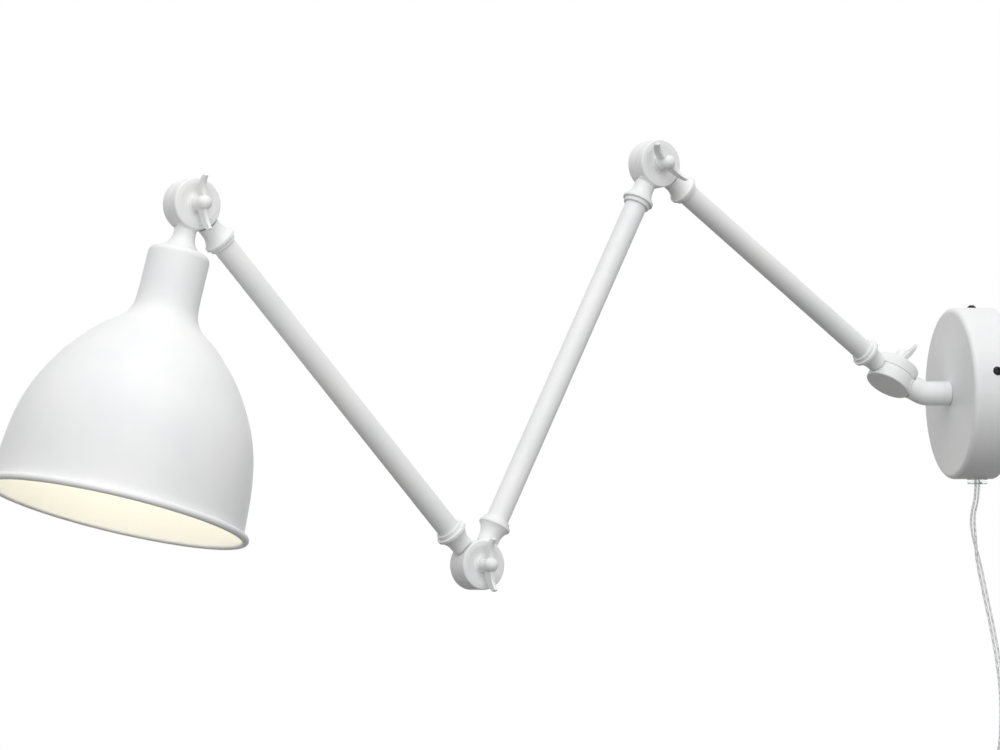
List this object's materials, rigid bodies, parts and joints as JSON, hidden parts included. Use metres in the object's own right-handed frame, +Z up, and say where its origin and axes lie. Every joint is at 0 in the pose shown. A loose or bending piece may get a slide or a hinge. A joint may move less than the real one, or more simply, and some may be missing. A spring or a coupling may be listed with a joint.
{
  "type": "articulating wall lamp",
  "caption": "Wall lamp with a round wall cup, a bent stem, hinged tube arms with wing-nut knuckles and a bell-shaped metal shade, on a plug-in cord.",
  "frame": {"origin": "centre of the wall cup's back face, on the wall", "axes": "+Y into the wall, so the lamp stands out along -Y; +Z up; +X to the right of someone facing the wall"},
  "size_m": [0.4338, 0.7736, 0.7134],
  "materials": {
    "white_paint": "satin",
    "shade_paint": "satin",
    "zinc_steel": "satin",
    "dark_screw": "satin",
    "clear_plastic": "gloss",
    "clear_flex": "gloss",
    "white_plastic": "satin",
    "nickel": "satin",
    "brass": "satin"
  },
  "bodies": {
    "wall_base": {"coil_tie": "white_plastic", "cord_coil": "clear_flex", "cord_grip": "clear_plastic", "cord_grip_nut": "clear_plastic", "cup_screws": "dark_screw", "plug_body": "white_plastic", "plug_lead": "clear_flex", "plug_pins": "nickel", "supply_cord": "clear_flex", "switch_base": "white_plastic", "switch_cover": "white_plastic", "switch_lead": "clear_flex", "switch_screws": "zinc_steel", "terminal_block": "white_plastic", "terminal_screws": "zinc_steel", "wall_bracket": "zinc_steel", "wall_cup": "white_paint"},
    "stem": {"stem": "white_paint", "stem_nut": "zinc_steel", "stem_washer": "zinc_steel", "wall_joint_stud": "zinc_steel"},
    "rear_arm": {"rear_arm_flex": "clear_flex", "rear_arm_lower_knuckle": "white_paint", "rear_arm_tube": "white_paint", "rear_arm_upper_knuckle": "white_paint", "upper_elbow_stud": "zinc_steel", "wall_joint_spring_washer": "white_paint"},
    "middle_arm": {"lower_elbow_spring_washer": "white_paint", "middle_arm_flex": "clear_flex", "middle_arm_lower_knuckle": "white_paint", "middle_arm_tube": "white_paint", "middle_arm_upper_knuckle": "white_paint", "upper_elbow_spring_washer": "white_paint"},
    "front_arm": {"front_arm_flex": "clear_flex", "front_arm_lower_knuckle": "white_paint", "front_arm_tube": "white_paint", "front_arm_upper_knuckle": "white_paint", "lower_elbow_stud": "zinc_steel", "shade_joint_stud": "zinc_steel"},
    "shade": {"lamp_socket": "brass", "lampholder_body": "white_plastic", "lampholder_cap": "white_plastic", "lampholder_core": "white_plastic", "nipple_nut": "zinc_steel", "shade": "shade_paint", "shade_joint_spring_washer": "white_paint", "shade_knuckle": "white_paint", "shade_nipple": "zinc_steel", "socket_contact": "brass"},
    "wall_joint_wing_nut": {"wall_joint_wing_nut": "white_paint"},
    "upper_elbow_wing_nut": {"upper_elbow_wing_nut": "white_paint"},
    "lower_elbow_wing_nut": {"lower_elbow_wing_nut": "white_paint"},
    "shade_joint_wing_nut": {"shade_joint_wing_nut": "white_paint"},
    "switch_rocker": {"switch_rocker": "white_plastic"}
  },
  "joints": [
    {"name": "stem_swivel", "type": "hinge", "parent": "wall_base", "child": "stem", "pos_m": [0, 0, 0], "axis": [0, 1, 0], "range_deg": [-71.5, 108.5]},
    {"name": "wall_joint", "type": "hinge", "parent": "stem", "child": "rear_arm", "pos_m": [-0.00444, -0.07733, 0.01326], "axis": [-0.2742, 0.503, 0.8196], "range_deg": [-118.8, 61.2]},
    {"name": "upper_elbow", "type": "hinge", "parent": "rear_arm", "child": "middle_arm", "pos_m": [0.08178, -0.28333, 0.16854], "axis": [0.9079, 0.4164, 0.0482], "range_deg": [-215, 36]},
    {"name": "lower_elbow", "type": "hinge", "parent": "middle_arm", "child": "front_arm", "pos_m": [0.16363, -0.42846, -0.1192], "axis": [-0.9079, -0.4164, -0.0482], "range_deg": [-212, 22]},
    {"name": "shade_joint", "type": "hinge", "parent": "front_arm", "child": "shade", "pos_m": [0.24542, -0.63544, 0.12784], "axis": [0.9079, 0.4164, 0.0482], "range_deg": [-250, 9]},
    {"name": "wall_joint_nut_turn", "type": "hinge", "parent": "stem", "child": "wall_joint_wing_nut", "pos_m": [-0.00444, -0.07733, 0.01326], "axis": [-0.2742, 0.503, 0.8196], "range_deg": [0, 270]},
    {"name": "upper_elbow_nut_turn", "type": "hinge", "parent": "rear_arm", "child": "upper_elbow_wing_nut", "pos_m": [0.08178, -0.28333, 0.16854], "axis": [0.9079, 0.4164, 0.0482], "range_deg": [0, 270]},
    {"name": "lower_elbow_nut_turn", "type": "hinge", "parent": "front_arm", "child": "lower_elbow_wing_nut", "pos_m": [0.16363, -0.42846, -0.1192], "axis": [0.9079, 0.4164, 0.0482], "range_deg": [0, 270]},
    {"name": "shade_joint_nut_turn", "type": "hinge", "parent": "front_arm", "child": "shade_joint_wing_nut", "pos_m": [0.24542, -0.63544, 0.12784], "axis": [0.9079, 0.4164, 0.0482], "range_deg": [0, 270]},
    {"name": "switch_rock", "type": "hinge", "parent": "wall_base", "child": "switch_rocker", "pos_m": [0.0475, -0.0148, -0.327], "axis": [-1, 0, 0], "range_deg": [0, 18]}
  ]
}
